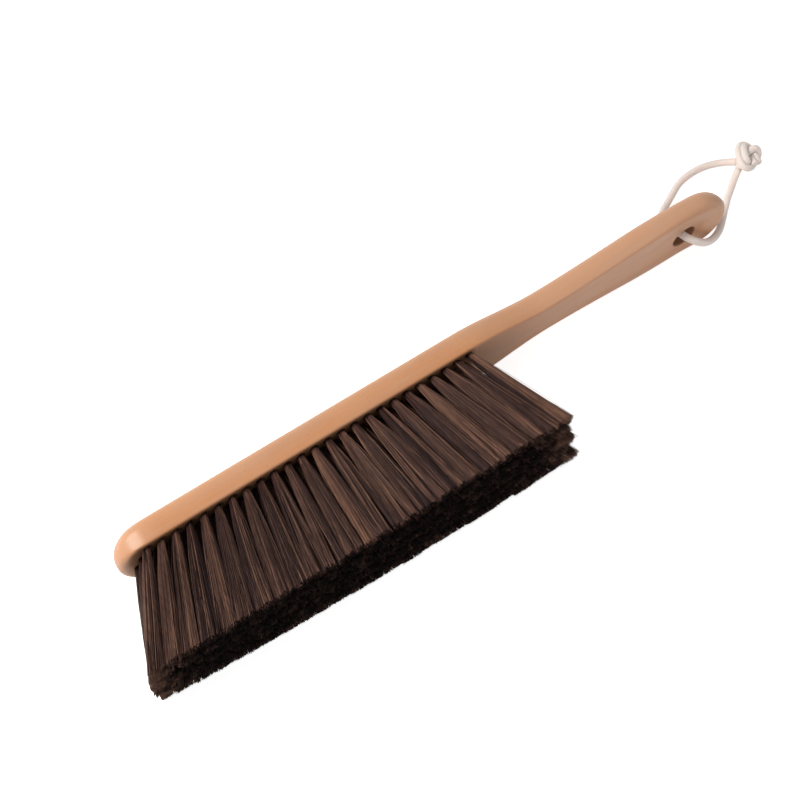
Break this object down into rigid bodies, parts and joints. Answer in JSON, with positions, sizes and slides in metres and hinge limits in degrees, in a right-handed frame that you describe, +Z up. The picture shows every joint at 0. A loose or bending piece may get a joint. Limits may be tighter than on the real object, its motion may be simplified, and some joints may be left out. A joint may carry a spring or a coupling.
{
  "type": "bed brush",
  "caption": "Hand brush with a long flat wooden block, a waisted handle, rows of fanned bristle tufts along one face and a knotted cord loop through a hanging hole.",
  "frame": {"origin": "on the surface the brush lies on, under the middle of the box round body and bristles", "axes": "+X along the brush towards the hanging hole, +Y towards the back of the body (bristles point to -Y), +Z up from the side that the brush lies on"},
  "size_m": [0.4149, 0.0975, 0.038],
  "materials": {
    "beech": "satin clear lacquer on fine-grained light beech",
    "bristle": "dark brown natural bristle with a soft sheen and lighter strands",
    "cotton": "undyed braided cotton cord, matt"
  },
  "bodies": {
    "brush": {"brush_body": "beech", "tuft_column_01": "bristle", "tuft_column_02": "bristle", "tuft_column_03": "bristle", "tuft_column_04": "bristle", "tuft_column_05": "bristle", "tuft_column_06": "bristle", "tuft_column_07": "bristle", "tuft_column_08": "bristle", "tuft_column_09": "bristle", "tuft_column_10": "bristle", "tuft_column_11": "bristle", "tuft_column_12": "bristle", "tuft_column_13": "bristle", "tuft_column_14": "bristle", "tuft_column_15": "bristle", "tuft_column_16": "bristle", "tuft_column_17": "bristle", "tuft_column_18": "bristle", "tuft_column_19": "bristle", "tuft_column_20": "bristle", "tuft_column_21": "bristle", "tuft_column_22": "bristle", "tuft_column_23": "bristle", "tuft_column_24": "bristle", "tuft_column_25": "bristle", "tuft_column_26": "bristle", "tuft_column_27": "bristle", "tuft_column_28": "bristle", "tuft_column_29": "bristle", "tuft_column_30": "bristle", "tuft_column_31": "bristle", "tuft_column_32": "bristle", "tuft_column_33": "bristle", "tuft_column_34": "bristle", "tuft_column_35": "bristle", "tuft_column_36": "bristle", "tuft_column_37": "bristle", "tuft_column_38": "bristle", "tuft_column_39": "bristle", "tuft_column_40": "bristle", "tuft_column_41": "bristle", "tuft_column_42": "bristle", "tuft_column_43": "bristle", "tuft_column_44": "bristle", "tuft_column_45": "bristle", "tuft_column_46": "bristle", "tuft_column_47": "bristle", "tuft_column_48": "bristle", "tuft_column_49": "bristle"},
    "hanging_loop": {"hanging_cord": "cotton", "cord_knot": "cotton"}
  },
  "joints": [
    {"name": "loop_swivel", "type": "hinge", "parent": "brush", "child": "hanging_loop", "pos_m": [0.1546, 0.0232, 0.018], "axis": [0, -1, 0], "range_deg": [0, 90]}
  ]
}
